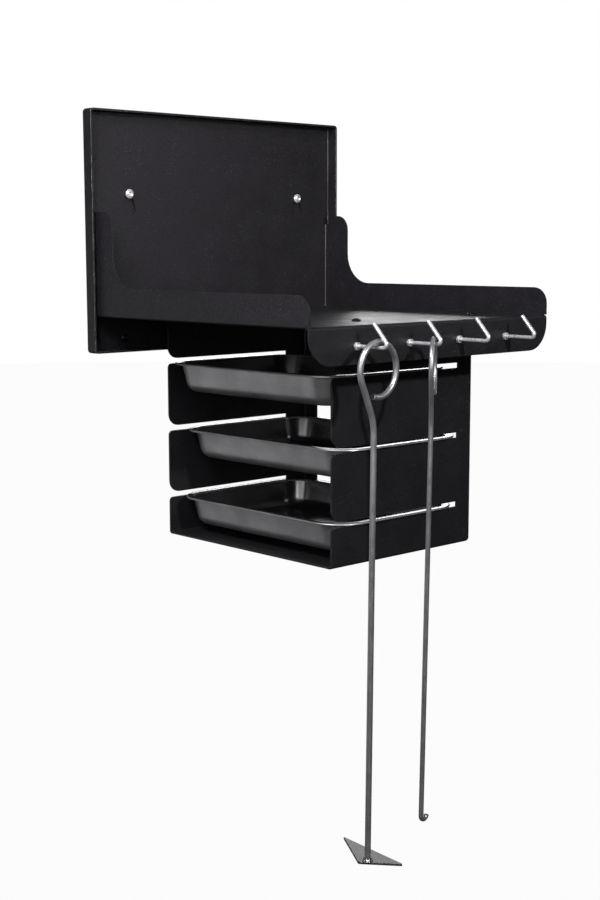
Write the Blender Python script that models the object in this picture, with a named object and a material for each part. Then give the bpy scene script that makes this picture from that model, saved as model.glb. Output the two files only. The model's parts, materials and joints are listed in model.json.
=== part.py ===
"""A wall-hung work station in folded sheet steel.

A shallow panel is fixed to the wall. A shelf with raised cheeks hangs on two of its
screws by teardrop keyholes. Under the shelf a rack holds three sliding trays, and
four wire hooks in the shelf's front lip hold two long hand tools.

Metres. X runs along the wall, the wall is the plane Y = 0, the front is toward -Y
and Z is up. The origin is the middle of the panel's back face.
"""

import math

import bmesh
import bpy
from mathutils import Matrix, Vector

# Sheet metal
SHEET = 0.002
BEND_OUT = 0.003
BEND_IN = BEND_OUT - SHEET
GAP = 0.0003

# Wall panel, a shallow tray that opens to the front
PANEL_W, PANEL_H, PANEL_D = 0.364, 0.260, 0.016
PANEL_CORNER = 0.004

# Shelf
SHELF_W = 0.352
SHELF_D = 0.340
DECK_Z = -0.089
BACK_TOP = 0.0795
BACK_CORNER = 0.014
CHEEK_TOP = 0.021
CHEEK_REACH = 0.037
CHEEK_CORNER = 0.017
CHEEK_SWEEP = 0.035
CHEEK_LOW = 0.0295
CHEEK_NOSE = 0.017
LIP_DROP = 0.037
LIP_CORNER = 0.028
RELIEF_W, RELIEF_H = 0.0045, 0.010

# Keyholes and the screws in them
HANG_X, HANG_Z = 0.125, 0.0415
KEYHOLE_DROP = 0.016
KEYHOLE_R, KEYSLOT_R = 0.0087, 0.0035
WALL_SCREW_X, WALL_SCREW_Z = 0.133, -0.115

# Tray rack
RACK_LEFT, RACK_RIGHT = -0.085, 0.127
RACK_FRONT, RACK_REAR = -0.281, -0.017
RACK_H = 0.248
RACK_FLANGE = 0.020
RACK_CORNER = 0.005
SLOT_PITCH = 0.076
SLOT_FIRST = 0.0514
SLOT_H = 0.0056
SLOT_END_FRONT, SLOT_END_REAR = 0.1056, 0.0945
TAB_TOP_R, TAB_LOW_R = 0.005, 0.013
RACK_SCREW_X = (-0.060, 0.116)

# Trays
TRAY_L, TRAY_W, TRAY_DEPTH = 0.194, 0.268, 0.033
TRAY_CORNER = 0.038
TRAY_SHEET = 0.0012
RIM_W, RIM_DROP = 0.007, 0.0022
WALL_DRAFT = 0.0045
FOOT_R = 0.013
TRAYS = (("upper_tray", 0.019), ("middle_tray", 0.0), ("lower_tray", 0.005))
TRAY_RIGHT = 0.119
TRAY_FORWARD = 0.002

# Wire hooks in the lip
HOOK_XS = (-0.115, -0.0417, 0.0316, 0.1049)
HOOK_Z = -0.1085
HOOK_R = 0.002
HOOK_REACHES = (0.0395, 0.0410, 0.0395, 0.0390)
HOOK_BEND = 0.0035
HOOK_TIP = 0.022
HOOK_TIP_ANGLE = math.radians(47)
HOOK_TAIL = 0.0075

# Hand tools
TOOL_Y = (-0.373, -0.3755)
SCRAPER_R, POKER_R = 0.003, 0.0025
RING_RX, RING_RZ = 0.024, 0.026
RING_END = math.radians(-108)
RING_LEAVE = math.radians(212)
NECK_X, NECK_DROP = -0.005, 0.050
NECK_BEND = 0.012
SCRAPER_FOOT_Z, POKER_FOOT_Z = -0.6105, -0.589
SCRAPER_SHIFT = 0.001
SCRAPER_LEAN, POKER_LEAN = math.radians(0.7), math.radians(1.1)
POKER_SHIFT = 0.0008
POKER_TURN = math.radians(38.5)
POKER_SWEEP = 0.0025
POKER_TOE_BEND = 0.0045
POKER_TOE_END = 350
POKER_TOE_TURN = math.radians(5)
BLADE_T = 0.0025
BLADE_CORNERS = ((0.024, 0.058), (-0.008, 0.005), (0.021, -0.028))
BLADE_TIP_R = 0.0015

# Standard parts: head radius, head height, shank radius, socket across flats
M6_BUTTON = (0.00525, 0.0033, 0.003, 0.004)
M5_BUTTON = (0.00475, 0.0025, 0.0025, 0.003)
PAN_SCREW = (0.0045, 0.0027, 0.0025, 0.003)
M5_LENGTH = 0.010
M5_HOLE_R = 0.0028
M4_HOLE_R = 0.0023

# Nuts: size across flats, thickness, bore radius
M5_NUT = (0.008, 0.0040, 0.0028)
M4_NUT = (0.007, 0.0032, 0.0023)

# Places worked out from the above
BACK_Y = -(2 * SHEET + GAP)
LIP_Y = BACK_Y - SHELF_D
HALF_W = SHELF_W / 2
DECK_LOW = DECK_Z - SHEET
RACK_TOP = DECK_LOW - GAP
RACK_REAR_FACE = RACK_REAR - SHEET
RACK_SCREW_Y = (RACK_FRONT - RACK_FLANGE / 2 + 0.001, RACK_REAR_FACE - RACK_FLANGE / 2)


def clear_scene():
    for obj in list(bpy.data.objects):
        bpy.data.objects.remove(obj, do_unlink=True)


def material(name, colour, metallic, roughness):
    made = bpy.data.materials.new(name)
    made.use_nodes = True
    shader = made.node_tree.nodes["Principled BSDF"]
    shader.inputs["Base Color"].default_value = (*colour, 1.0)
    shader.inputs["Metallic"].default_value = metallic
    shader.inputs["Roughness"].default_value = roughness
    return made


def add_object(name, data, finish=None):
    obj = bpy.data.objects.new(name, data)
    bpy.context.scene.collection.objects.link(obj)
    if finish is not None:
        own = finish.copy()
        own.name = name + "_finish"
        data.materials.append(own)
    return obj


def mesh_of(name, bm):
    bmesh.ops.recalc_face_normals(bm, faces=bm.faces)
    mesh = bpy.data.meshes.new(name)
    bm.to_mesh(mesh)
    bm.free()
    return mesh


def smooth(obj, angle=40):
    obj.data.shade_smooth()
    obj.data.set_sharp_from_angle(angle=math.radians(angle))
    return obj


def arc(centre, radius, start, end, steps):
    """Points on an arc, angles in degrees, both ends included."""
    angles = [math.radians(start + (end - start) * i / steps) for i in range(steps + 1)]
    return [(centre[0] + radius * math.cos(a), centre[1] + radius * math.sin(a)) for a in angles]


def on_axis(axis, a, b, along):
    """A point of a 2-D outline, placed in space for a prism that runs along an axis."""
    return {"X": (along, a, b), "Y": (a, along, b), "Z": (a, b, along)}[axis]


def add_prism(bm, outline, axis, start, end):
    near = [bm.verts.new(on_axis(axis, a, b, start)) for a, b in outline]
    far = [bm.verts.new(on_axis(axis, a, b, end)) for a, b in outline]
    bm.faces.new(near)
    bm.faces.new(far)
    for i in range(len(outline)):
        j = (i + 1) % len(outline)
        bm.faces.new((near[i], near[j], far[j], far[i]))


def prisms(name, *shapes, finish=None):
    """One object of several separate prisms, each given as (outline, axis, start, end)."""
    bm = bmesh.new()
    for shape in shapes:
        add_prism(bm, *shape)
    return add_object(name, mesh_of(name, bm), finish)


def helper(obj):
    obj.hide_render = True
    obj.display_type = "WIRE"
    return obj


def combine(target, tool, operation, solver="EXACT"):
    helper(tool)
    boolean = target.modifiers.new(tool.name, "BOOLEAN")
    boolean.operation = operation
    boolean.object = tool
    boolean.solver = solver


def circle(centre, radius, steps=16):
    return arc(centre, radius, 0, 360 - 360 / steps, steps - 1)


def rectangle(a0, b0, a1, b1):
    return [(a0, b0), (a1, b0), (a1, b1), (a0, b1)]


def folded(path, steps=3):
    """Outline of a sheet strip that follows a path of straight runs with a bend at each corner.

    The path lies on the middle of the sheet.
    """
    middle = BEND_IN + SHEET / 2
    points = [Vector(p) for p in path]
    sides = ([], [])
    for i, point in enumerate(points):
        if i in (0, len(points) - 1):
            other = points[1] if i == 0 else points[-2]
            run = (other - point if i == 0 else point - other).normalized()
            normal = Vector((-run.y, run.x))
            for side, sign in zip(sides, (1, -1)):
                side.append(point + normal * sign * SHEET / 2)
            continue
        into = (point - points[i - 1]).normalized()
        away = (points[i + 1] - point).normalized()
        turn = into.cross(away)
        hand = 1 if turn > 0 else -1
        angle = math.asin(min(1.0, abs(turn)))
        start = point - into * middle * math.tan(angle / 2)
        centre = start + Vector((-into.y, into.x)) * hand * middle
        first = (start - centre).normalized()
        for step in range(steps + 1):
            turned = Matrix.Rotation(hand * angle * step / steps, 2) @ first
            for side, sign in zip(sides, (1, -1)):
                side.append(centre + turned * (middle - hand * sign * SHEET / 2))
    return [tuple(p) for p in sides[0]] + [tuple(p) for p in reversed(sides[1])]


def rounded_ring(half_a, half_b, radius, steps):
    """Points round a rectangle with rounded corners, centred on nought."""
    points = []
    for k, (sa, sb) in enumerate(((1, 1), (-1, 1), (-1, -1), (1, -1))):
        centre = (sa * (half_a - radius), sb * (half_b - radius))
        points += arc(centre, radius, 90 * k, 90 * k + 90, steps)
    return points


def pan(name, half_a, half_b, corner, profile, place, steps, finish):
    """A sheet tray: the profile is (inset, height) pairs, from one flat face round to the other."""
    bm = bmesh.new()
    rings = []
    for inset, height in profile:
        ring = rounded_ring(half_a - inset, half_b - inset, corner - inset, steps)
        rings.append([bm.verts.new(place(a, b, height)) for a, b in ring])
    for low, high in zip(rings, rings[1:]):
        for i in range(len(low)):
            j = (i + 1) % len(low)
            bm.faces.new((low[i], low[j], high[j], high[i]))
    bm.faces.new(rings[0])
    bm.faces.new(rings[-1])
    return add_object(name, mesh_of(name, bm), finish)


def turned(name, profile, sides, place, finish):
    """A solid of revolution: the profile is (radius, height) pairs between its two end faces."""
    bm = bmesh.new()
    rings = []
    for radius, height in profile:
        ring = circle((0.0, 0.0), radius, sides)
        rings.append([bm.verts.new(place @ Vector((a, b, height))) for a, b in ring])
    for low, high in zip(rings, rings[1:]):
        for i in range(sides):
            j = (i + 1) % sides
            bm.faces.new((low[i], low[j], high[j], high[i]))
    bm.faces.new(rings[0])
    bm.faces.new(rings[-1])
    return smooth(add_object(name, mesh_of(name, bm), finish))


def hexagon(across_flats):
    return arc((0.0, 0.0), across_flats / math.sqrt(3), 0, 300, 5)


def button_screw(name, size, length, place, finish):
    """A domed screw with a hexagon socket. Its head sits on local Z = 0 and points to +Z."""
    head_r, head_h, shank_r, socket = size
    dome = [(head_r * math.cos(a), head_h * math.sin(a)) for a in (0.0, 0.35, 0.75, 1.15)]
    profile = [(shank_r, -length), (shank_r, 0.0)] + dome + [(socket * 0.62, head_h)]
    screw = turned(name, profile, 16, place, finish)
    bm = bmesh.new()
    add_prism(bm, hexagon(socket), "Z", head_h * 0.45, head_h * 2)
    bm.transform(place)
    combine(screw, add_object(name + "_socket", mesh_of(name + "_socket", bm)), "DIFFERENCE")
    return screw


def hex_nut(name, size, place, finish):
    """A nut on local Z, with its bore, its lower face at local Z = 0."""
    across_flats, thickness, bore_r = size
    bm = bmesh.new()
    outer = hexagon(across_flats)
    bore = circle((0.0, 0.0), bore_r, 12)
    levels = (0.0, thickness)
    rings = [[bm.verts.new((a, b, z)) for a, b in ring] for ring in (outer, bore) for z in levels]
    low_out, high_out, low_in, high_in = rings
    for i in range(6):
        j = (i + 1) % 6
        bm.faces.new((low_out[i], low_out[j], high_out[j], high_out[i]))
        for low, ring_in in ((low_out, low_in), (high_out, high_in)):
            k = 2 * i
            bm.faces.new((low[i], ring_in[k], ring_in[k + 1]))
            bm.faces.new((low[i], ring_in[k + 1], low[j]))
            bm.faces.new((low[j], ring_in[k + 1], ring_in[(k + 2) % 12]))
    for i in range(12):
        j = (i + 1) % 12
        bm.faces.new((low_in[j], low_in[i], high_in[i], high_in[j]))
    bm.transform(place)
    return add_object(name, mesh_of(name, bm), finish)


def rod(name, points, radius, resolution, finish):
    """Round wire along a path of points in space."""
    curve = bpy.data.curves.new(name, "CURVE")
    curve.dimensions = "3D"
    curve.bevel_depth = radius
    curve.bevel_resolution = resolution
    curve.use_fill_caps = True
    spline = curve.splines.new("POLY")
    spline.points.add(len(points) - 1)
    for slot, point in zip(spline.points, points):
        slot.co = (*point, 1.0)
    return add_object(name, curve, finish)


def make_wall_panel(finish):
    bend = [(BEND_OUT - x, y - BEND_OUT) for x, y in arc((0, 0), BEND_OUT, 90, 0, 3)]
    inner = [(BEND_OUT - x, y - BEND_OUT) for x, y in arc((0, 0), BEND_IN, 0, 90, 3)]
    profile = bend + [(0.0, -PANEL_D), (SHEET, -PANEL_D)] + inner
    panel = pan(
        "wall_panel",
        PANEL_W / 2,
        PANEL_H / 2,
        PANEL_CORNER,
        profile,
        lambda a, b, height: (a, height, b),
        3,
        finish,
    )
    holes = []
    for x, z, radius in (
        (HANG_X, HANG_Z, M6_BUTTON[2] + GAP),
        (WALL_SCREW_X, WALL_SCREW_Z, PAN_SCREW[2] + GAP),
    ):
        for side in (-1, 1):
            holes.append((circle((side * x, z), radius), "Y", -PANEL_D, 0.01))
    combine(panel, prisms("wall_panel_holes", *holes), "DIFFERENCE")


def make_wall_screws(bright, dark):
    """Screws with their heads to the front. What goes into the wall itself is left out."""
    to_front = Matrix.Rotation(math.radians(90), 4, "X")
    hang_face = BACK_Y - 0.0007
    for side, word in ((-1, "left"), (1, "right")):
        place = Matrix.Translation((side * HANG_X, hang_face, HANG_Z)) @ to_front
        button_screw("hanging_screw_" + word, M6_BUTTON, -hang_face - GAP, place, bright)
        wall_face = -SHEET - GAP
        place = Matrix.Translation((side * WALL_SCREW_X, wall_face, WALL_SCREW_Z)) @ to_front
        button_screw("wall_screw_" + word, PAN_SCREW, -wall_face - GAP, place, dark)


def open_tub(name, wall, radius, top, finish=None):
    """The tub that the back, deck and cheeks are the walls of, inset by a wall thickness."""
    bm = bmesh.new()
    x = HALF_W - wall
    back, low = BACK_Y + SHEET - wall, DECK_LOW + wall
    front = LIP_Y - (0.01 if wall else 0.0)
    add_prism(bm, rectangle(-x, front, x, back), "Z", low, top)
    folds = []
    for edge in bm.edges:
        ends = [v.co for v in edge.verts]
        on_low = all(abs(e.z - low) < 1e-6 for e in ends)
        on_back = all(abs(e.y - back) < 1e-6 for e in ends)
        on_side = abs(ends[0].x - ends[1].x) < 1e-6
        if (on_low and (on_back or on_side)) or (on_back and on_side):
            folds.append(edge)
    bmesh.ops.bevel(bm, geom=folds, offset=radius, segments=3, profile=0.5, affect="EDGES")
    return add_object(name, mesh_of(name, bm), finish)


def cheek_waste():
    """What is cut away above the cheeks: a tall part at the back that sweeps down to a low edge."""
    low = DECK_Z + CHEEK_LOW
    front = BACK_Y - CHEEK_REACH
    outline = [(BACK_Y, CHEEK_TOP)]
    outline += arc((front + CHEEK_CORNER, CHEEK_TOP - CHEEK_CORNER), CHEEK_CORNER, 90, 180, 6)
    outline += arc((front - CHEEK_SWEEP, low + CHEEK_SWEEP), CHEEK_SWEEP, 0, -90, 8)
    outline += arc((LIP_Y + CHEEK_NOSE, low - CHEEK_NOSE), CHEEK_NOSE, 90, 180, 6)
    beyond, above = LIP_Y - 0.02, BACK_TOP + 0.02
    outline += [(beyond, low - CHEEK_NOSE), (beyond, above), (BACK_Y, above)]
    return outline


def lower_corner(x, z, radius, side, margin=0.01):
    """Waste outside a rounded lower corner at (x, z); side is -1 for a left corner, 1 for a right."""
    centre = (x - side * radius, z + radius)
    sweep = arc(centre, radius, 0, -90, 8) if side > 0 else arc(centre, radius, 180, 270, 8)
    out = x + side * margin
    return sweep + [(centre[0], z - margin), (out, z - margin), (out, centre[1])]


def upper_corner(x, z, radius, side, margin=0.01):
    return [(a, 2 * z - b) for a, b in lower_corner(x, z, radius, side, margin)]


def keyhole(x):
    """A teardrop: a wide round hole, its sides drawn in to a narrow one above it."""
    top = (x, HANG_Z + M6_BUTTON[2] + GAP - KEYSLOT_R)
    low = (x, top[1] - KEYHOLE_DROP)
    tilt = math.degrees(math.asin((KEYHOLE_R - KEYSLOT_R) / KEYHOLE_DROP))
    return arc(low, KEYHOLE_R, 180 - tilt, 360 + tilt, 14) + arc(top, KEYSLOT_R, tilt, 180 - tilt, 6)


def make_shelf(finish):
    shelf = open_tub("shelf_body", 0.0, BEND_OUT, BACK_TOP, finish)
    combine(shelf, open_tub("shelf_inside", SHEET, BEND_IN, BACK_TOP + 0.01), "DIFFERENCE")
    combine(shelf, prisms("shelf_waste", (cheek_waste(), "X", -0.2, 0.2)), "DIFFERENCE")
    reliefs = []
    for side in (-1, 1):
        inner, outer = side * (HALF_W - RELIEF_W), side * (HALF_W + 0.01)
        slot = rectangle(min(inner, outer), CHEEK_TOP - RELIEF_H, max(inner, outer), CHEEK_TOP + 0.002)
        reliefs.append((slot, "Y", BACK_Y - RELIEF_W, 0.0))
    step = rectangle(LIP_Y - 0.01, DECK_LOW - 0.01, LIP_Y + BEND_OUT, DECK_Z + 0.0005)
    front_step = (step, "X", -0.2, 0.2)
    combine(shelf, prisms("shelf_reliefs", *reliefs, front_step), "DIFFERENCE", "MANIFOLD")
    middle = SHEET / 2
    lip_path = [
        (LIP_Y + BEND_OUT + 0.001, DECK_Z - middle),
        (LIP_Y + middle, DECK_Z - middle),
        (LIP_Y + middle, DECK_Z - LIP_DROP),
    ]
    combine(shelf, prisms("shelf_lip", (folded(lip_path), "X", -HALF_W, HALF_W)), "UNION", "MANIFOLD")
    cuts = []
    for side in (-1, 1):
        lip_low = DECK_Z - LIP_DROP
        corner = lower_corner(side * HALF_W, lip_low, LIP_CORNER, side)
        cuts.append((corner, "Y", LIP_Y - 0.01, LIP_Y + 0.01))
        corner = upper_corner(side * HALF_W, BACK_TOP, BACK_CORNER, side)
        cuts.append((corner, "Y", BACK_Y - 0.01, 0.0))
        cuts.append((keyhole(side * HANG_X), "Y", BACK_Y - 0.01, 0.0))
    for x in HOOK_XS:
        cuts.append((circle((x, HOOK_Z), M4_HOLE_R, 12), "Y", LIP_Y - 0.01, LIP_Y + 0.01))
    for x in RACK_SCREW_X:
        for y in RACK_SCREW_Y:
            cuts.append((circle((x, y), M5_HOLE_R, 12), "Z", DECK_LOW - 0.01, DECK_Z + 0.01))
    combine(shelf, prisms("shelf_cuts", *cuts), "DIFFERENCE", "MANIFOLD")


def slot_waste(level, end):
    """A slot open at the rack's left edge, with the corners of the tabs above and below rounded."""
    top, low = level + SLOT_H / 2, level - SLOT_H / 2
    out = RACK_LEFT - 0.01
    outline = [(end, low), (end, top)]
    outline += arc((RACK_LEFT + TAB_LOW_R, top + TAB_LOW_R), TAB_LOW_R, 270, 180, 6)
    outline += [(out, top + TAB_LOW_R), (out, low - TAB_TOP_R)]
    outline += arc((RACK_LEFT + TAB_TOP_R, low - TAB_TOP_R), TAB_TOP_R, 180, 90, 4)
    return outline


def slot_levels():
    return [RACK_TOP - SLOT_FIRST - SLOT_PITCH * i for i in range(len(TRAYS))]


def make_rack(finish):
    """Two slotted plates and a floor, folded from one sheet, with flanges that screw to the deck."""
    middle = SHEET / 2
    top, low = RACK_TOP - middle, RACK_TOP - RACK_H + middle
    path = [
        (RACK_FRONT - RACK_FLANGE, top),
        (RACK_FRONT + middle, top),
        (RACK_FRONT + middle, low),
        (RACK_REAR - middle, low),
        (RACK_REAR - middle, top),
        (RACK_REAR_FACE - RACK_FLANGE, top),
    ]
    rack = prisms("tray_rack", (folded(path), "X", RACK_LEFT, RACK_RIGHT), finish=finish)
    right = RACK_RIGHT - middle
    path = [
        (right - 0.006, RACK_REAR - middle),
        (right, RACK_REAR - middle),
        (right, RACK_REAR_FACE - RACK_FLANGE),
    ]
    flange = (folded(path), "Z", low + 0.006, top - 0.006)
    combine(rack, prisms("rack_end_flange", flange), "UNION")
    cuts = []
    for level in slot_levels():
        for end, face in ((SLOT_END_FRONT, RACK_FRONT), (SLOT_END_REAR, RACK_REAR_FACE)):
            cuts.append((slot_waste(level, end), "Y", face - 0.003, face + SHEET + 0.003))
    corner = lower_corner(RACK_RIGHT, RACK_TOP - RACK_H, RACK_CORNER, 1)
    cuts.append((corner, "Y", RACK_FRONT - 0.01, RACK_FRONT + 0.004))
    for x in RACK_SCREW_X:
        for y in RACK_SCREW_Y:
            cuts.append((circle((x, y), M5_HOLE_R, 12), "Z", top - 0.01, top + 0.01))
    combine(rack, prisms("rack_cuts", *cuts), "DIFFERENCE")


def make_rack_fasteners(dark, bright):
    for x, side in zip(RACK_SCREW_X, ("left", "right")):
        for y, end in zip(RACK_SCREW_Y, ("front", "rear")):
            place = Matrix.Translation((x, y, DECK_Z + GAP))
            button_screw(f"rack_screw_{end}_{side}", M5_BUTTON, M5_LENGTH, place, dark)
            low = RACK_TOP - SHEET - GAP - M5_NUT[1]
            hex_nut(f"rack_nut_{end}_{side}", M5_NUT, Matrix.Translation((x, y, low)), bright)


def tray_profile():
    """Section of a pressed tray: foot, sloping wall, flat rim and turned-down edge."""
    wall = TRAY_SHEET
    top_in = RIM_W + wall
    foot_in = top_in + WALL_DRAFT
    middle = (foot_in + FOOT_R, FOOT_R - TRAY_DEPTH)
    outer = arc(middle, FOOT_R, 270, 187, 5)
    outer += [(top_in, -wall), (wall, -wall), (wall, -RIM_DROP), (0.0, -RIM_DROP)]
    outer += [(0.0, -0.0006), (0.0006, 0.0), (RIM_W + wall, 0.0)]
    inner = arc(middle, FOOT_R - wall, 187, 270, 5)
    return outer + [(top_in + wall, -wall)] + inner


def make_tray(name, pulled, level, finish):
    rim_top = level - SLOT_H / 2 + GAP + RIM_DROP
    centre_x = TRAY_RIGHT - TRAY_L / 2 - pulled
    centre_y = (RACK_FRONT + RACK_REAR) / 2 - TRAY_FORWARD
    tray = pan(
        name,
        TRAY_L / 2,
        TRAY_W / 2,
        TRAY_CORNER,
        tray_profile(),
        lambda a, b, height: (a, b, height),
        6,
        finish,
    )
    tray.location = (centre_x, centre_y, rim_top)
    smooth(tray, 30)


def hook_path(x, out):
    """Out through the lip, a tight bend, and a tip that points up and back to the shelf."""
    centre = (LIP_Y - out + HOOK_BEND, HOOK_Z + HOOK_BEND)
    end = 90 + math.degrees(HOOK_TIP_ANGLE)
    bend = arc(centre, HOOK_BEND, 270, end, 7)
    reach = Vector((math.cos(HOOK_TIP_ANGLE), math.sin(HOOK_TIP_ANGLE))) * HOOK_TIP
    tip = (bend[-1][0] + reach.x, bend[-1][1] + reach.y)
    return [(x, y, z) for y, z in [(LIP_Y + SHEET + HOOK_TAIL, HOOK_Z)] + bend + [tip]]


def make_hooks(finish):
    to_front = Matrix.Rotation(math.radians(90), 4, "X")
    for number, (x, out) in enumerate(zip(HOOK_XS, HOOK_REACHES), 1):
        rod(f"wire_hook_{number}", hook_path(x, out), HOOK_R, 2, finish)
        outside = Matrix.Translation((x, LIP_Y - GAP, HOOK_Z)) @ to_front
        inside = Matrix.Translation((x, LIP_Y + SHEET + GAP + M4_NUT[1], HOOK_Z)) @ to_front
        hex_nut(f"hook_nut_outer_{number}", M4_NUT, outside, finish)
        hex_nut(f"hook_nut_inner_{number}", M4_NUT, inside, finish)


def handle_path(radius, foot, sweep=0.0):
    """Ring handle and shaft in the local XZ plane, hung at nought. Sweep bends the free limb aside."""
    centre_z = HOOK_R + GAP + radius - RING_RZ
    steps = 22
    angles = [RING_END + (RING_LEAVE - RING_END) * i / steps for i in range(steps + 1)]
    points = [(RING_RX * math.cos(a), centre_z + RING_RZ * math.sin(a)) for a in angles]
    start = Vector(points[-1])
    corner = Vector((NECK_X, centre_z - NECK_DROP))
    into = (corner - start).normalized()
    before, after = corner - into * NECK_BEND, corner + Vector((0.0, -NECK_BEND))
    for step in range(5):
        t = step / 4
        mixed = before * (1 - t) ** 2 + corner * 2 * t * (1 - t) + after * t**2
        points.append(tuple(mixed))
    points.append((NECK_X, foot))
    top = math.pi / 2
    aside = [sweep * (max(0.0, top - a) / (top - RING_END)) ** 2 for a in angles]
    aside += [0.0] * (len(points) - len(angles))
    return [Vector((x, -y, z)) for (x, z), y in zip(points, aside)]


def hang_on(pivot, obj, shift, turn=0.0, lean=0.0):
    """Ties a tool's piece to its pivot, turned on its own shaft first and then leant forward."""
    obj.parent = pivot
    tilt = Matrix.Rotation(lean, 4, "X") @ Matrix.Rotation(turn, 4, "Z")
    obj.matrix_local = Matrix.Translation((shift, 0.0, 0.0)) @ tilt


def make_scraper(steel):
    pivot = add_object("scraper_pivot", None)
    pivot.location = (HOOK_XS[0], TOOL_Y[0], HOOK_Z)
    foot = SCRAPER_FOOT_Z - HOOK_Z
    bar = rod("scraper_rod", handle_path(SCRAPER_R, foot), SCRAPER_R, 2, steel)
    hang_on(pivot, bar, SCRAPER_SHIFT, lean=SCRAPER_LEAN)
    outline = []
    corners = [Vector(c) + Vector((NECK_X, 0.0)) for c in BLADE_CORNERS]
    for i, corner in enumerate(corners):
        for other in (corners[i - 1], corners[(i + 1) % 3]):
            outline.append(tuple(corner + (other - corner).normalized() * BLADE_TIP_R))
    bm = bmesh.new()
    add_prism(bm, outline, "Z", foot - GAP - BLADE_T, foot - GAP)
    blade = add_object("scraper_blade", mesh_of("scraper_blade", bm), steel)
    hang_on(pivot, blade, SCRAPER_SHIFT, lean=SCRAPER_LEAN)


def make_poker(steel):
    pivot = add_object("poker_pivot", None)
    pivot.location = (HOOK_XS[1], TOOL_Y[1], HOOK_Z)
    low = POKER_FOOT_Z - HOOK_Z
    points = handle_path(POKER_R, low + POKER_TOE_BEND, POKER_SWEEP)
    aim = POKER_TOE_TURN - POKER_TURN
    out = Vector((math.cos(aim), math.sin(aim), 0.0))
    base = points[-1] + out * POKER_TOE_BEND
    for a, b in arc((0.0, 0.0), POKER_TOE_BEND, 180, POKER_TOE_END, 9)[1:]:
        points.append(base + out * a + Vector((0.0, 0.0, b)))
    bar = rod("poker_rod", points, POKER_R, 2, steel)
    hang_on(pivot, bar, POKER_SHIFT, POKER_TURN, POKER_LEAN)


def main():
    clear_scene()
    powder = material("powder_coat", (0.022, 0.021, 0.023), 0.0, 0.45)
    enamel = material("enamel", (0.010, 0.010, 0.011), 0.0, 0.18)
    zinc = material("zinc", (0.62, 0.63, 0.65), 1.0, 0.28)
    oxide = material("black_oxide", (0.03, 0.03, 0.032), 0.8, 0.4)
    steel = material("raw_steel", (0.30, 0.30, 0.31), 1.0, 0.42)
    make_wall_panel(powder)
    make_wall_screws(zinc, oxide)
    make_shelf(powder)
    make_rack(powder)
    make_rack_fasteners(oxide, zinc)
    for (name, pulled), level in zip(TRAYS, slot_levels()):
        make_tray(name, pulled, level, enamel)
    make_hooks(zinc)
    make_scraper(steel)
    make_poker(steel)


main()
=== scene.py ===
"""The looks of a wall-hung tool station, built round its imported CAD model.

The folded sheet parts are the CAD's own, with arrises rounded as far as their small corners allow.
Trays, rods, hooks and fasteners are finer pieces that stand for theirs. Metres, in the CAD's frame:
X along the wall, -Y to the front, Z up.
"""

import json
import math

import bmesh
import bpy
from mathutils import Matrix, Vector


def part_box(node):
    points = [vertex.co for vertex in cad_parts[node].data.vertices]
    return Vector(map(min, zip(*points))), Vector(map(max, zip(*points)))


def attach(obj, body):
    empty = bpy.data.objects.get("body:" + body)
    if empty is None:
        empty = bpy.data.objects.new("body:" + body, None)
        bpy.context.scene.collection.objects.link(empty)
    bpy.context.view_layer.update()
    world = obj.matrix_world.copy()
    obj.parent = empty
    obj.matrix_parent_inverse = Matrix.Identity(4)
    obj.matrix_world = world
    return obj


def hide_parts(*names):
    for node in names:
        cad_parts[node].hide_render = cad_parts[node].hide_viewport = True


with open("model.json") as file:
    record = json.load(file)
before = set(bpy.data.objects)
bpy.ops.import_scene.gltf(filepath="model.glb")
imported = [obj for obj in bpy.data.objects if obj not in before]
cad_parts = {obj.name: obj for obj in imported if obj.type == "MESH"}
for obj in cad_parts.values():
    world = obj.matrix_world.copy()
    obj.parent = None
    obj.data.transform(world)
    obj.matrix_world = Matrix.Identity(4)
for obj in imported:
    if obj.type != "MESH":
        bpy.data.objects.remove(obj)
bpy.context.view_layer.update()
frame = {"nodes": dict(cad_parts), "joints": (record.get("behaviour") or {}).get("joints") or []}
NODES = frame["nodes"]
JOINTS = {joint["name"]: joint for joint in frame["joints"]}

# Camera
CAMERA_AT = (-1.0951, -1.3151, -0.0136)
CAMERA_HEADING, CAMERA_PITCH, CAMERA_ROLL = 43.07, 8.0, -0.09
CAMERA_LENS = 58.45

# Round parts: radii and the sizes that their CAD boxes don't give
WIRE_R, SCRAPER_R, POKER_R = 0.002, 0.003, 0.0025
HOOK_BEND, HOOK_TIP, HOOK_TIP_ANGLE = 0.0035, 0.022, 47
GAP = 0.0003
RING_RX, RING_RZ = 0.024, 0.026
RING_END, RING_LEAVE = -108, 212
NECK_X, NECK_DROP, NECK_BEND = -0.005, 0.050, 0.012
SCRAPER_SHIFT, SCRAPER_LEAN = 0.001, 0.7
POKER_SHIFT, POKER_LEAN, POKER_TURN = 0.0008, 1.1, 38.5
POKER_SWEEP = 0.0025
TOE_BEND, TOE_END, TOE_TURN = 0.0045, 350, 5

# Trays
TRAY_CORNER, TRAY_SHEET = 0.038, 0.0012
RIM_W, RIM_DROP, RIM_R = 0.007, 0.0022, 0.0016
RIM_FILLET = 0.0012
WALL_DRAFT, FOOT_R = 0.0045, 0.013
WALL_ANGLE = 187
TRAY_SHADES = ((0.105, 0.105, 0.110), (0.135, 0.135, 0.139), (0.18, 0.18, 0.18))

# Edges: the rounding of sheet and blade, and the chamfer on a bar's cut end
SHEET_ARRIS, BLADE_ARRIS = 0.0005, 0.0003
BAR_CHAMFER = 0.0004

# Fasteners: nuts as thickness, width across flats and bore radius
M4_NUT, M5_NUT = (0.0032, 0.007, 0.0021), (0.004, 0.008, 0.0026)
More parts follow.
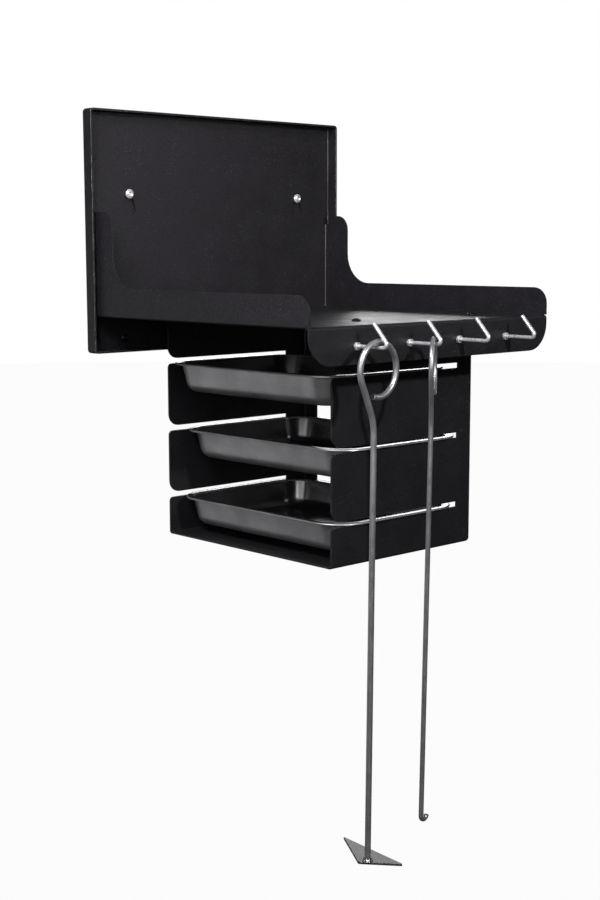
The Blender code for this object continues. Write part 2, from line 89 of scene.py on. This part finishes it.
# Screws as head radius, head height, shank radius and socket width across flats
M6_BUTTON = (0.00525, 0.0033, 0.003, 0.004)
M5_BUTTON = (0.00475, 0.0025, 0.0025, 0.003)
PAN_HEAD = (0.0045, 0.0027, 0.0025, 0.003)
THREAD_PITCH, THREAD_PAST_NUT = 0.0007, 0.0025
THREAD_DEPTHS = (0.0, 0.00018, 0.00032, 0.00018)

# The weld bead's section, from its foot up, as radius and height
WELD_SECTION = ((0.0052, 0.0), (0.0050, 0.0006), (0.0042, 0.0016), (0.0035, 0.0028), (0.0031, 0.0040))
WELD_NECK = 0.0032

# Stage
FLOOR_Z, FLOOR_R, BACKDROP_R = -0.78, 8.0, 9.0


def arc(centre, radius, start, end, steps):
    """Points on an arc, angles in degrees, both ends included."""
    angles = [math.radians(start + (end - start) * i / steps) for i in range(steps + 1)]
    return [(centre[0] + radius * math.cos(a), centre[1] + radius * math.sin(a)) for a in angles]


# ---------------------------------------------------------------- materials


class Finish:
    """A material and short calls that add and join its nodes."""

    def __init__(self, name):
        self.made = bpy.data.materials.new(name)
        self.made.use_nodes = True
        self.tree = self.made.node_tree
        self.shader = self.tree.nodes["Principled BSDF"]
        self.place = self.node("ShaderNodeTexCoord").outputs["Object"]

    def node(self, kind, **settings):
        made = self.tree.nodes.new(kind)
        for name, value in settings.items():
            setattr(made, name, value)
        return made

    def join(self, source, target):
        self.tree.links.new(source, target)

    def fixed(self, **values):
        for name, value in values.items():
            self.shader.inputs[name.replace("_", " ")].default_value = value

    def stretched(self, x, y, z):
        mapping = self.node("ShaderNodeMapping")
        mapping.inputs["Scale"].default_value = (x, y, z)
        self.join(self.place, mapping.inputs["Vector"])
        return mapping.outputs["Vector"]

    def noise(self, scale, detail=2.0, rough=0.5, place=None):
        made = self.node("ShaderNodeTexNoise")
        made.inputs["Scale"].default_value = scale
        made.inputs["Detail"].default_value = detail
        made.inputs["Roughness"].default_value = rough
        self.join(place or self.place, made.inputs["Vector"])
        return made.outputs["Fac"]

    def specks(self, scale, size):
        """1 inside small dots that are scattered about, 0 elsewhere."""
        cells = self.node("ShaderNodeTexVoronoi")
        cells.inputs["Scale"].default_value = scale
        self.join(self.place, cells.inputs["Vector"])
        return self.span(cells.outputs["Distance"], size, size * 0.5, 0.0, 1.0)

    def fold_highlight_mask(self):
        """1 on upright folds, whose face looks halfway between the front and a side: where a highlight is
        painted.
        """
        split = self.node("ShaderNodeSeparateXYZ")
        self.join(self.node("ShaderNodeTexCoord").outputs["Normal"], split.inputs[0])
        product = self.times(split.outputs["X"], split.outputs["Y"])
        return self.span(product, 0.18, 0.40, 0.0, 1.0)

    def span(self, source, low, high, to_low, to_high):
        made = self.node("ShaderNodeMapRange")
        names = ("From Min", "From Max", "To Min", "To Max")
        for name, value in zip(names, (low, high, to_low, to_high)):
            made.inputs[name].default_value = value
        self.join(source, made.inputs["Value"])
        return made.outputs["Result"]

    def times(self, a, b):
        made = self.node("ShaderNodeMath", operation="MULTIPLY")
        self.join(a, made.inputs[0])
        self.join(b, made.inputs[1])
        return made.outputs[0]

    def blend(self, factor, first, second):
        made = self.node("ShaderNodeMix", data_type="RGBA")
        self.join(factor, made.inputs[0])
        for slot, value in ((6, first), (7, second)):
            if isinstance(value, tuple):
                made.inputs[slot].default_value = (*value, 1.0)
            else:
                self.join(value, made.inputs[slot])
        return made.outputs[2]

    def bump(self, height, strength, distance, under=None):
        made = self.node("ShaderNodeBump")
        made.inputs["Strength"].default_value = strength
        made.inputs["Distance"].default_value = distance
        self.join(height, made.inputs["Height"])
        if under is not None:
            self.join(under, made.inputs["Normal"])
        return made.outputs["Normal"]

    def finish(self, colour, roughness, normal):
        for source, name in ((colour, "Base Color"), (roughness, "Roughness"), (normal, "Normal")):
            self.join(source, self.shader.inputs[name])
        return self.made


def powder_coat(name):
    """Charcoal powder coat: orange peel, a fine grain, faint clouds, a few pale specks and a painted
    highlight on upright folds.
    """
    coat = Finish(name)
    coat.fixed(Specular_IOR_Level=0.42)
    clouds = coat.span(coat.noise(9, 3), 0.35, 0.65, 0.0, 1.0)
    dark, pale = (0.0062, 0.0054, 0.0072), (0.0090, 0.0079, 0.0102)
    colour = coat.blend(clouds, dark, pale)
    grain = coat.span(coat.noise(900, 2, 0.6), 0.48, 0.70, 0.0, 0.60)
    colour = coat.blend(grain, colour, (0.040, 0.037, 0.043))
    dust = coat.times(coat.specks(240, 0.14), coat.span(coat.noise(30, 1), 0.42, 0.62, 0.0, 0.8))
    colour = coat.blend(dust, colour, (0.11, 0.11, 0.115))
    # Painted highlight: upright folds are coloured paler, as where light catches the bend; they are also
    # made smoother.
    bends = coat.fold_highlight_mask()
    colour = coat.blend(bends, colour, (0.075, 0.074, 0.078))
    roughness = coat.span(coat.noise(35, 3), 0.3, 0.7, 0.40, 0.50)
    roughness = coat.times(roughness, coat.span(bends, 0.0, 1.0, 1.0, 0.55))
    peel = coat.bump(coat.noise(330, 2), 0.32, 0.0004)
    normal = coat.bump(coat.noise(1000, 2), 0.45, 0.00012, peel)
    return coat.finish(colour, roughness, normal)


def tray_coat(name, gloss, painted_light_level):
    """Dark baked coating on pressed steel, with a metal's reflection and faint rub marks. Its colours are
    scaled by a level that paints light and shade.
    """
    coat = Finish(name)
    coat.fixed(Metallic=0.9)
    clouds = coat.span(coat.noise(26, 3), 0.35, 0.65, 0.0, 1.0)
    dark, pale, rubbed = (tuple(c * painted_light_level for c in shade) for shade in TRAY_SHADES)
    colour = coat.blend(clouds, dark, pale)
    rubs = coat.span(coat.noise(60, 3, 0.6, coat.stretched(1, 1, 14)), 0.55, 0.72, 0.0, 0.35)
    colour = coat.blend(rubs, colour, rubbed)
    roughness = coat.span(coat.noise(45, 4, 0.6), 0.3, 0.7, gloss, gloss + 0.12)
    normal = coat.bump(coat.noise(240, 2), 0.08, 0.0002)
    return coat.finish(colour, roughness, normal)


def zinc_plate(name):
    """Bright zinc: a faint spangle and small dull spots."""
    plate = Finish(name)
    plate.fixed(Metallic=0.6)
    spangle = plate.span(plate.noise(420, 2), 0.35, 0.65, 0.0, 1.0)
    colour = plate.blend(spangle, (0.74, 0.75, 0.77), (0.90, 0.91, 0.92))
    dull = plate.span(plate.noise(700, 3), 0.60, 0.74, 0.0, 0.4)
    colour = plate.blend(dull, colour, (0.45, 0.45, 0.47))
    roughness = plate.span(plate.noise(260, 3), 0.3, 0.7, 0.24, 0.38)
    normal = plate.bump(plate.noise(600, 2), 0.08, 0.0001)
    return plate.finish(colour, roughness, normal)


def black_oxide(name):
    """Oiled black oxide, rubbed to a little steel on the high spots."""
    oxide = Finish(name)
    oxide.fixed(Metallic=0.85)
    pale_patches = oxide.span(oxide.noise(600, 3), 0.55, 0.75, 0.0, 0.6)
    colour = oxide.blend(pale_patches, (0.020, 0.020, 0.022), (0.075, 0.074, 0.074))
    roughness = oxide.span(oxide.noise(500, 2), 0.3, 0.7, 0.30, 0.46)
    return oxide.finish(colour, roughness, oxide.bump(oxide.noise(900, 2), 0.1, 0.0001))


def drawn_steel(name):
    """Bare drawn rod: lines along its length, mill scale in soft patches and small nicks."""
    steel = Finish(name)
    steel.fixed(Metallic=0.8)
    lines = steel.span(steel.noise(1400, 2, 0.6, steel.stretched(1, 1, 0.02)), 0.35, 0.65, 0.0, 1.0)
    colour = steel.blend(lines, (0.37, 0.375, 0.385), (0.47, 0.475, 0.485))
    scale = steel.span(steel.noise(55, 4, 0.65), 0.50, 0.68, 0.0, 0.55)
    colour = steel.blend(scale, colour, (0.32, 0.32, 0.33))
    nicks = steel.span(steel.noise(700, 2), 0.66, 0.74, 0.0, 0.6)
    colour = steel.blend(nicks, colour, (0.70, 0.70, 0.71))
    roughness = steel.span(steel.noise(120, 3), 0.3, 0.7, 0.30, 0.46)
    normal = steel.bump(steel.noise(1400, 2, 0.6, steel.stretched(1, 1, 0.02)), 0.12, 0.0001)
    return steel.finish(colour, roughness, normal)


def cut_steel(name):
    """A saw-cut end: dull and dark, with fine parallel scores."""
    steel = Finish(name)
    steel.fixed(Metallic=0.9)
    scores = steel.span(steel.noise(900, 2, 0.5, steel.stretched(1, 1, 6)), 0.35, 0.65, 0.0, 1.0)
    colour = steel.blend(scores, (0.045, 0.043, 0.042), (0.13, 0.128, 0.125))
    roughness = steel.span(steel.noise(700, 2), 0.3, 0.7, 0.5, 0.7)
    return steel.finish(colour, roughness, steel.bump(steel.noise(900, 2), 0.2, 0.0001))


def ground_steel(name):
    """Sheet steel with a ground face: fine grain that follows wide arcs."""
    steel = Finish(name)
    steel.fixed(Metallic=1.0)
    shift = steel.node("ShaderNodeVectorMath", operation="SUBTRACT")
    shift.inputs[1].default_value = (0.06, -0.36, -0.61)
    steel.join(steel.place, shift.inputs[0])
    reach = steel.node("ShaderNodeVectorMath", operation="LENGTH")
    steel.join(shift.outputs["Vector"], reach.inputs[0])
    rings = steel.node("ShaderNodeTexNoise", noise_dimensions="1D")
    rings.inputs["Scale"].default_value = 900
    rings.inputs["Detail"].default_value = 3
    steel.join(reach.outputs["Value"], rings.inputs["W"])
    grain = steel.span(rings.outputs["Fac"], 0.35, 0.65, 0.0, 1.0)
    colour = steel.blend(grain, (0.13, 0.13, 0.135), (0.26, 0.26, 0.265))
    stains = steel.span(steel.noise(90, 3), 0.55, 0.75, 0.0, 0.4)
    colour = steel.blend(stains, colour, (0.09, 0.09, 0.09))
    roughness = steel.span(rings.outputs["Fac"], 0.3, 0.7, 0.42, 0.60)
    return steel.finish(colour, roughness, steel.bump(rings.outputs["Fac"], 0.2, 0.0001))


def weld_metal(name):
    """Weld bead: bright ripples and burnt edges."""
    weld = Finish(name)
    weld.fixed(Metallic=1.0)
    burn = weld.span(weld.noise(500, 3), 0.40, 0.62, 0.0, 1.0)
    colour = weld.blend(burn, (0.50, 0.49, 0.48), (0.13, 0.12, 0.115))
    roughness = weld.span(weld.noise(700, 2), 0.3, 0.7, 0.22, 0.42)
    return weld.finish(colour, roughness, weld.bump(weld.noise(900, 2), 0.3, 0.0002))


# ---------------------------------------------------------------- pieces


def add_piece(name, bm, body, finish, slot, *stands_for, sharp=35):
    """A new object that rides on a body, and hides the CAD nodes that it stands for."""
    bmesh.ops.recalc_face_normals(bm, faces=bm.faces)
    mesh = bpy.data.meshes.new(name)
    bm.to_mesh(mesh)
    bm.free()
    mesh.shade_smooth()
    mesh.set_sharp_from_angle(angle=math.radians(sharp))
    mesh.materials.append(finish)
    piece = bpy.data.objects.new(name, mesh)
    bpy.context.scene.collection.objects.link(piece)
    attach(piece, body)
    if stands_for:
        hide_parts(*stands_for)
    return piece


def skin(bm, rings, close_ends=True):
    """Faces between rings of points with equal counts, and an end face on the first and last."""
    loops = [[bm.verts.new(p) for p in ring] for ring in rings]
    for low, high in zip(loops, loops[1:]):
        for i in range(len(low)):
            j = (i + 1) % len(low)
            bm.faces.new((low[i], low[j], high[j], high[i]))
    if close_ends:
        bm.faces.new(loops[0])
        bm.faces.new(loops[-1])
    else:
        for i in range(len(loops[0])):
            j = (i + 1) % len(loops[0])
            bm.faces.new((loops[-1][i], loops[-1][j], loops[0][j], loops[0][i]))


def sheet_edge(name):
    """A cut edge where the coat thins: smoother, and painted paler in patches as a highlight where it
    catches the light.
    """
    edge = Finish(name)
    edge.fixed(Metallic=0.45)
    # Painted highlight: these pale patches stand for light caught along the edge, as well as for thinner
    # coat.
    pale_patches = edge.span(edge.noise(130, 3), 0.40, 0.66, 0.0, 1.0)
    colour = edge.blend(pale_patches, (0.055, 0.054, 0.057), (0.30, 0.30, 0.31))
    roughness = edge.span(edge.noise(200, 2), 0.3, 0.7, 0.26, 0.42)
    return edge.finish(colour, roughness, edge.bump(edge.noise(700, 2), 0.1, 0.0001))


def round_arrises(node, finish, edge_finish, width):
    """A CAD sheet part with rounded edges in a finish of their own. The clamp keeps faces from folding."""
    piece = NODES[node]
    piece.data.materials.clear()
    piece.data.materials.append(finish)
    piece.data.materials.append(edge_finish)
    weld = piece.modifiers.new("weld", "WELD")
    weld.merge_threshold = 0.00001
    merge = piece.modifiers.new("merge_flats", "DECIMATE")
    merge.decimate_type = "DISSOLVE"
    merge.angle_limit = math.radians(0.5)
    merge.delimit = set()
    bevel = piece.modifiers.new("arris", "BEVEL")
    bevel.width = width
    bevel.segments = 2
    bevel.limit_method = "ANGLE"
    bevel.angle_limit = math.radians(50)
    bevel.material = 1
    bevel.use_clamp_overlap = True
    bevel.harden_normals = False
    piece.data.shade_smooth()
    flatten = piece.modifiers.new("flat_faces", "WEIGHTED_NORMAL")
    flatten.mode = "FACE_AREA"
    flatten.weight = 100
    flatten.keep_sharp = False


def tray_profile(height):
    """A tray's section as (inset, height), from under the floor round the rim to the floor's top."""
    wall = TRAY_SHEET
    top_in = RIM_W + wall
    foot = (top_in + WALL_DRAFT + FOOT_R, FOOT_R - height)
    corner = (top_in - RIM_FILLET, -wall - RIM_FILLET)
    soft = 0.0003
    profile = arc(foot, FOOT_R, 270, WALL_ANGLE, 9)
    profile += arc(corner, RIM_FILLET, 0, 90, 4)
    profile += arc((wall + soft, -wall - soft), soft, 90, 180, 2)
    profile += [(wall, -RIM_DROP + soft), (wall - soft, -RIM_DROP), (soft, -RIM_DROP)]
    profile += arc((RIM_R, -RIM_R), RIM_R, 180, 90, 5)
    profile += arc(corner, RIM_FILLET + wall, 90, 0, 5)
    profile += arc(foot, FOOT_R - wall, WALL_ANGLE, 270, 9)
    return profile


def rounded_ring(half_a, half_b, radius, steps):
    points = []
    for k, (sa, sb) in enumerate(((1, 1), (-1, 1), (-1, -1), (1, -1))):
        centre = (sa * (half_a - radius), sb * (half_b - radius))
        points += arc(centre, radius, 90 * k, 90 * k + 90, steps)
    return points


def make_tray(node, outside, inside):
    low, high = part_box(node)
    middle, half = (low + high) / 2, (high - low) / 2
    rings = []
    for inset, height in tray_profile(high.z - low.z):
        ring = rounded_ring(half.x - inset, half.y - inset, TRAY_CORNER - inset, 14)
        rings.append([(middle.x + a, middle.y + b, high.z + height) for a, b in ring])
    bm = bmesh.new()
    skin(bm, rings)
    tray = add_piece(node + "_pressed", bm, node, outside, "enamel", node)
    tray.data.materials.append(inside)
    # Faces that look inward below the rim, and faces that look up, take the inside finish with its painted
    # shade.
    under_rim = high.z - RIM_R
    for face in tray.data.polygons:
        reach = (face.center - middle).to_2d()
        faces_in = face.normal.to_2d().dot(reach) < -0.001
        face.material_index = int((faces_in and face.center.z < under_rim) or face.normal.z > 0.9)


def darken_ends(piece, finish):
    """A finish of their own for a bar's end faces, the only ones with more than four corners."""
    piece.data.materials.append(finish)
    for face in piece.data.polygons:
        face.material_index = int(len(face.vertices) > 4)


def tube(bm, points, radii, sides=20):
    """Round bar along a path in space; radii has a radius for each point."""
    points = [Vector(p) for p in points]
    across = (points[1] - points[0]).orthogonal().normalized()
    rings = []
    for i, point in enumerate(points):
        run = points[min(i + 1, len(points) - 1)] - points[max(i - 1, 0)]
        run.normalize()
        across = (across - run * across.dot(run)).normalized()
        other = run.cross(across)
        ring = []
        for a, b in arc((0, 0), radii[i], 0, 360 - 360 / sides, sides - 1):
            ring.append(point + across * a + other * b)
        rings.append(ring)
    skin(bm, rings)


def cut_ends(points, radius, chamfer):
    """The path and its radii, with a small chamfer at each end."""
    points = [Vector(p) for p in points]
    first = (points[1] - points[0]).normalized() * chamfer
    last = (points[-2] - points[-1]).normalized() * chamfer
    path = [points[0], points[0] + first, *points[1:-1], points[-1] + last, points[-1]]
    radii = [radius - chamfer, *[radius] * (len(path) - 2), radius - chamfer]
    return path, radii


def handle_path(radius, foot, sweep=0.0):
    """Ring handle and shaft in the local XZ plane, hung at nought. Sweep bends the free limb aside."""
    centre_z = WIRE_R + GAP + radius - RING_RZ
    steps = 72
    points, aside = [], []
    for i in range(steps + 1):
        degrees = RING_END + (RING_LEAVE - RING_END) * i / steps
        a = math.radians(degrees)
        points.append(Vector((RING_RX * math.cos(a), centre_z + RING_RZ * math.sin(a))))
        aside.append(sweep * (max(0.0, 90 - degrees) / (90 - RING_END)) ** 2)
    corner = Vector((NECK_X, centre_z - NECK_DROP))
    into = (corner - points[-1]).normalized()
    before, after = corner - into * NECK_BEND, corner + Vector((0.0, -NECK_BEND))
    for step in range(13):
        t = step / 12
        points.append(before * (1 - t) ** 2 + corner * 2 * t * (1 - t) + after * t**2)
    points.append(Vector((NECK_X, foot)))
    aside += [0.0] * (len(points) - len(aside))
    return [Vector((p.x, -y, p.y)) for p, y in zip(points, aside)]


def make_scraper(steel, weld, blade, cut):
    hang = Vector(JOINTS["scraper_swing"]["pos_m"])
    place = Matrix.Translation(hang + Vector((SCRAPER_SHIFT, 0.0, 0.0)))
    place = place @ Matrix.Rotation(math.radians(SCRAPER_LEAN), 4, "X")
    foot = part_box("scraper_rod")[0].z - hang.z
    path, radii = cut_ends([place @ p for p in handle_path(SCRAPER_R, foot)], SCRAPER_R, BAR_CHAMFER)
    bm = bmesh.new()
    tube(bm, path, radii, 24)
    darken_ends(add_piece("scraper_bar", bm, "scraper", steel, "raw_steel", "scraper_rod"), cut)
    bm = bmesh.new()
    rings = []
    for radius, height in WELD_SECTION:
        ring = []
        for i in range(36):
            a = 2 * math.pi * i / 36
            ripple = 1 + 0.07 * math.sin(9 * a) + 0.05 * math.sin(4 * a + 1.0)
            reach = radius * (3.05 / 3.0 if radius < WELD_NECK else ripple)
            ring.append(place @ Vector((NECK_X + reach * math.cos(a), reach * math.sin(a), foot + height)))
        rings.append(ring)
    skin(bm, rings)
    add_piece("scraper_weld", bm, "scraper", weld, "raw_steel")
    round_arrises("scraper_blade", blade, blade, BLADE_ARRIS)


def make_poker(steel, cut):
    hang = Vector(JOINTS["poker_swing"]["pos_m"])
    place = Matrix.Translation(hang + Vector((POKER_SHIFT, 0.0, 0.0)))
    place = place @ Matrix.Rotation(math.radians(POKER_LEAN), 4, "X")
    place = place @ Matrix.Rotation(math.radians(POKER_TURN), 4, "Z")
    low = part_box("poker_rod")[0].z + POKER_R - hang.z
    points = handle_path(POKER_R, low + TOE_BEND, POKER_SWEEP)
    aim = math.radians(TOE_TURN - POKER_TURN)
    out = Vector((math.cos(aim), math.sin(aim), 0.0))
    base = points[-1] + out * TOE_BEND
    for a, b in arc((0.0, 0.0), TOE_BEND, 180, TOE_END, 16)[1:]:
        points.append(base + out * a + Vector((0.0, 0.0, b)))
    path, radii = cut_ends([place @ p for p in points], POKER_R, BAR_CHAMFER)
    bm = bmesh.new()
    tube(bm, path, radii, 24)
    darken_ends(add_piece("poker_bar", bm, "poker", steel, "raw_steel", "poker_rod"), cut)


def make_hook(number, zinc):
    """A bent wire with a rolled thread from its tail to just past the outer nut."""
    node = f"wire_hook_{number}"
    low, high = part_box(node)
    x, z = (low.x + high.x) / 2, low.z + WIRE_R
    centre = (low.y + WIRE_R + HOOK_BEND, z + HOOK_BEND)
    bend = arc(centre, HOOK_BEND, 270, 90 + HOOK_TIP_ANGLE, 16)
    aim = math.radians(HOOK_TIP_ANGLE)
    tip = (bend[-1][0] + HOOK_TIP * math.cos(aim), bend[-1][1] + HOOK_TIP * math.sin(aim))
    thread_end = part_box(f"hook_nut_outer_{number}")[0].y - THREAD_PAST_NUT
    turns = int((high.y - thread_end) / THREAD_PITCH)
    path, radii = [], []
    for i in range(4 * turns):
        path.append((x, high.y - i * THREAD_PITCH / 4, z))
        radii.append(WIRE_R - THREAD_DEPTHS[i % 4])
    radii[0] = WIRE_R - 0.0006
    path.append((x, thread_end - 0.0005, z))
    radii.append(WIRE_R)
    for y, up in bend + [tip]:
        path.append((x, y, up))
        radii.append(WIRE_R)
    radii[-1] = WIRE_R - 0.0004
    end = Vector(path[-1])
    path.insert(-1, tuple(end + (Vector(path[-2]) - end).normalized() * 0.0004))
    radii.insert(-1, WIRE_R)
    bm = bmesh.new()
    tube(bm, path, radii, 20)
    add_piece(f"bent_hook_{number}", bm, "shelf", zinc, "zinc", node)


def hex_radius(across_flats, angle):
    """Distance from a hexagon's middle to its side; a corner lies at angle 0."""
    return across_flats / 2 / math.cos((angle % (math.pi / 3)) - math.pi / 6)


def ring_of(radius, height, place, count=72):
    """A ring of points; radius is a number, or a function of the angle, and so is height."""
    ring = []
    for i in range(count):
        a = 2 * math.pi * i / count
        r = radius(a) if callable(radius) else radius
        h = height(a) if callable(height) else height
        ring.append(place @ Vector((r * math.cos(a), r * math.sin(a), h)))
    return ring


def nut_bmesh(across_flats, thickness, bore, place):
    """A nut on local Z from 0 to its thickness, both faces chamfered, with a countersunk bore."""
    face = across_flats / 2 * 0.97
    fall = math.tan(math.radians(30))

    def side(angle):
        return hex_radius(across_flats, angle)

    def upper(angle):
        return thickness - (side(angle) - face) * fall

    def lower(angle):
        return (side(angle) - face) * fall

    rings = [
        (bore, bore * 0.2),
        (bore, thickness - bore * 0.2),
        (bore * 1.15, thickness),
        (face, thickness),
        (side, upper),
        (side, lower),
        (face, 0.0),
        (bore * 1.15, 0.0),
    ]
    bm = bmesh.new()
    skin(bm, [ring_of(r, h, place) for r, h in rings], close_ends=False)
    return bm


def make_nut(node, axis, nut, finish):
    """A finer nut where the CAD nut is; axis is the rotation that turns local Z along it."""
    thickness, across_flats, bore = nut
    low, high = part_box(node)
    place = Matrix.Translation((low + high) / 2) @ axis @ Matrix.Translation((0, 0, -thickness / 2))
    bm = nut_bmesh(across_flats, thickness, bore, place)
    add_piece(node + "_chamfered", bm, "shelf", finish, "zinc", node, sharp=25)


def screw_bmesh(head_r, head_h, shank_r, socket, length, place):
    """A button-head screw on local Z: dome, hexagon socket, fillet under the head and a plain shank."""

    def socket_side(angle):
        return hex_radius(socket, angle)

    def dome(share):
        return (head_r * math.cos(share), head_h * 0.25 + head_h * 0.75 * math.sin(share))

    mouth = socket * 0.66
    rings = [(shank_r * 0.8, -length), (shank_r, -length + shank_r * 0.2), (shank_r, 0.0)]
    rings += [(head_r * 0.96, 0.0), (head_r, head_h * 0.06)]
    rings += [dome(share * 1.12 / 8) for share in range(9) if dome(share * 1.12 / 8)[0] > mouth]
    rings += [(mouth, head_h), (socket_side, head_h * 0.90), (socket_side, head_h * 0.40)]
    rings += [(socket * 0.25, head_h * 0.28)]
    bm = bmesh.new()
    skin(bm, [ring_of(r, h, place) for r, h in rings])
    return bm


def make_screw(node, axis, body, head, finish, slot):
    """A finer screw where the CAD screw is; its box gives where the head's top and the shank's end are."""
    head_r, head_h, shank_r, socket = head
    low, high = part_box(node)
    along = axis @ Vector((0, 0, 1))
    middle = (low + high) / 2
    total = abs((high - low).dot(along))
    top = middle + along * total / 2
    place = Matrix.Translation(top - along * head_h) @ axis
    bm = screw_bmesh(head_r, head_h, shank_r, socket, total - head_h, place)
    add_piece(node + "_domed", bm, body, finish, slot, node, sharp=30)


# ---------------------------------------------------------------- stage


def add_light(name, at, towards, size, power, colour=(1.0, 1.0, 1.0), size_y=None):
    data = bpy.data.lights.new(name, "AREA")
    data.shape = "DISK" if size_y is None else "RECTANGLE"
    data.size = size
    if size_y is not None:
        data.size_y = size_y
    data.energy = power
    data.color = colour
    light = bpy.data.objects.new(name, data)
    bpy.context.scene.collection.objects.link(light)
    light.location = at
    light.rotation_euler = (Vector(towards) - Vector(at)).to_track_quat("-Z", "Y").to_euler()


def glow(name, strength):
    made = bpy.data.materials.new(name)
    made.use_nodes = True
    shader = made.node_tree.nodes["Principled BSDF"]
    shader.inputs["Base Color"].default_value = (0.0, 0.0, 0.0, 1.0)
    shader.inputs["Specular IOR Level"].default_value = 0.0
    shader.inputs["Roughness"].default_value = 1.0
    shader.inputs["Emission Color"].default_value = (1.0, 1.0, 1.0, 1.0)
    shader.inputs["Emission Strength"].default_value = strength
    return made


def seen_only(obj):
    """The stage shows behind the object and adds no light to it."""
    obj.visible_diffuse = False
    obj.visible_glossy = False
    obj.visible_transmission = False
    obj.visible_shadow = False


def make_stage():
    bpy.ops.mesh.primitive_uv_sphere_add(radius=BACKDROP_R, segments=48, ring_count=24)
    backdrop = bpy.context.object
    backdrop.name = "backdrop"
    backdrop.data.materials.append(glow("backdrop_white", 1.0))
    at = (0, 0, FLOOR_Z)
    bpy.ops.mesh.primitive_circle_add(vertices=96, radius=FLOOR_R, fill_type="NGON", location=at)
    floor = bpy.context.object
    floor.name = "floor"
    floor.data.materials.append(glow("floor_pale", 0.97))
    for obj in (backdrop, floor):
        seen_only(obj)


def make_world():
    world = bpy.data.worlds.new("studio")
    bpy.context.scene.world = world
    world.use_nodes = True
    tree = world.node_tree
    back = tree.nodes["Background"]
    place = tree.nodes.new("ShaderNodeTexCoord")
    split = tree.nodes.new("ShaderNodeSeparateXYZ")
    ramp = tree.nodes.new("ShaderNodeMapRange")
    ramp.inputs["From Min"].default_value = -0.6
    ramp.inputs["From Max"].default_value = 0.8
    ramp.inputs["To Min"].default_value = 0.012
    ramp.inputs["To Max"].default_value = 0.07
    tree.links.new(place.outputs["Generated"], split.inputs[0])
    tree.links.new(split.outputs["Z"], ramp.inputs["Value"])
    tree.links.new(ramp.outputs["Result"], back.inputs["Strength"])
    back.inputs["Color"].default_value = (0.95, 0.96, 1.0, 1.0)


def make_lights():
    focus = Vector((-0.02, -0.20, -0.12))

    def shine(name, way, distance, size, power, size_y=None, aim=focus):
        add_light(name, aim + Vector(way).normalized() * distance, aim, size, power, size_y=size_y)

    shine("key", (-0.15, -1.0, 0.41), 2.3, 0.12, 30)
    add_light("upper_left", (-0.62, -0.36, 0.40), (0.0, -0.05, 0.02), 0.26, 5.5, (0.96, 0.94, 1.0))
    add_light("back_sheen", (0.34, -0.72, 0.10), (-0.15, 0.0, 0.05), 0.16, 0.26, (0.96, 0.93, 1.0))
    shine("camera_side", (-0.80, -0.62, 0.30), 1.6, 0.40, 5.5, 1.0)
    shine("left_front", (-1.0, -0.22, 0.20), 1.3, 0.7, 2.5, 0.7)
    shine("left_card", (-0.66, 0.74, -0.22), 1.4, 1.3, 1.5, 1.0, Vector((-0.09, -0.15, -0.2)))
    shine("deck_sheen", (0.64, 0.70, 0.17), 1.5, 0.8, 5.5, 0.4, Vector((0.0, -0.25, -0.09)))


def make_camera():
    data = bpy.data.cameras.new("camera")
    data.lens = CAMERA_LENS
    data.sensor_width = 36.0
    data.clip_start = 0.01
    data.clip_end = 100.0
    camera = bpy.data.objects.new("camera", data)
    bpy.context.scene.collection.objects.link(camera)
    heading, pitch = math.radians(CAMERA_HEADING), math.radians(CAMERA_PITCH)
    flat = math.cos(pitch)
    ahead = Vector((math.sin(heading) * flat, math.cos(heading) * flat, -math.sin(pitch)))
    turn = ahead.to_track_quat("-Z", "Y").to_matrix().to_4x4()
    roll = Matrix.Rotation(math.radians(CAMERA_ROLL), 4, "Z")
    camera.matrix_world = Matrix.Translation(CAMERA_AT) @ turn @ roll
    bpy.context.scene.camera = camera


def main():
    coat = powder_coat("powder_coat")
    edge = sheet_edge("powder_coat_edge")
    for node in ("wall_panel", "shelf_body", "tray_rack"):
        round_arrises(node, coat, edge, SHEET_ARRIS)
    # The same coat twice: paler outside as painted light, and inside glossier and darker as painted shade.
    outside, inside = tray_coat("tray_coat_satin", 0.36, 4.2), tray_coat("tray_coat_gloss", 0.15, 1.2)
    for node in ("upper_tray", "middle_tray", "lower_tray"):
        make_tray(node, outside, inside)
    zinc, oxide = zinc_plate("zinc_plate"), black_oxide("black_oxide")
    to_front = Matrix.Rotation(math.radians(90), 4, "X")
    upright = Matrix.Identity(4)
    for number in range(1, 5):
        make_hook(number, zinc)
        for side in ("outer", "inner"):
            make_nut(f"hook_nut_{side}_{number}", to_front, M4_NUT, zinc)
    for side in ("left", "right"):
        make_screw(f"hanging_screw_{side}", to_front, "wall", M6_BUTTON, zinc, "zinc")
        make_screw(f"wall_screw_{side}", to_front, "wall", PAN_HEAD, oxide, "black_oxide")
        for end in ("front", "rear"):
            make_screw(f"rack_screw_{end}_{side}", upright, "shelf", M5_BUTTON, oxide, "black_oxide")
            make_nut(f"rack_nut_{end}_{side}", upright, M5_NUT, zinc)
    steel = drawn_steel("drawn_steel")
    cut = cut_steel("cut_steel")
    make_scraper(steel, weld_metal("weld_metal"), ground_steel("ground_steel"), cut)
    make_poker(steel, cut)
    make_stage()
    make_world()
    make_lights()
    make_camera()
    bpy.context.scene.view_settings.view_transform = "Standard"


main()
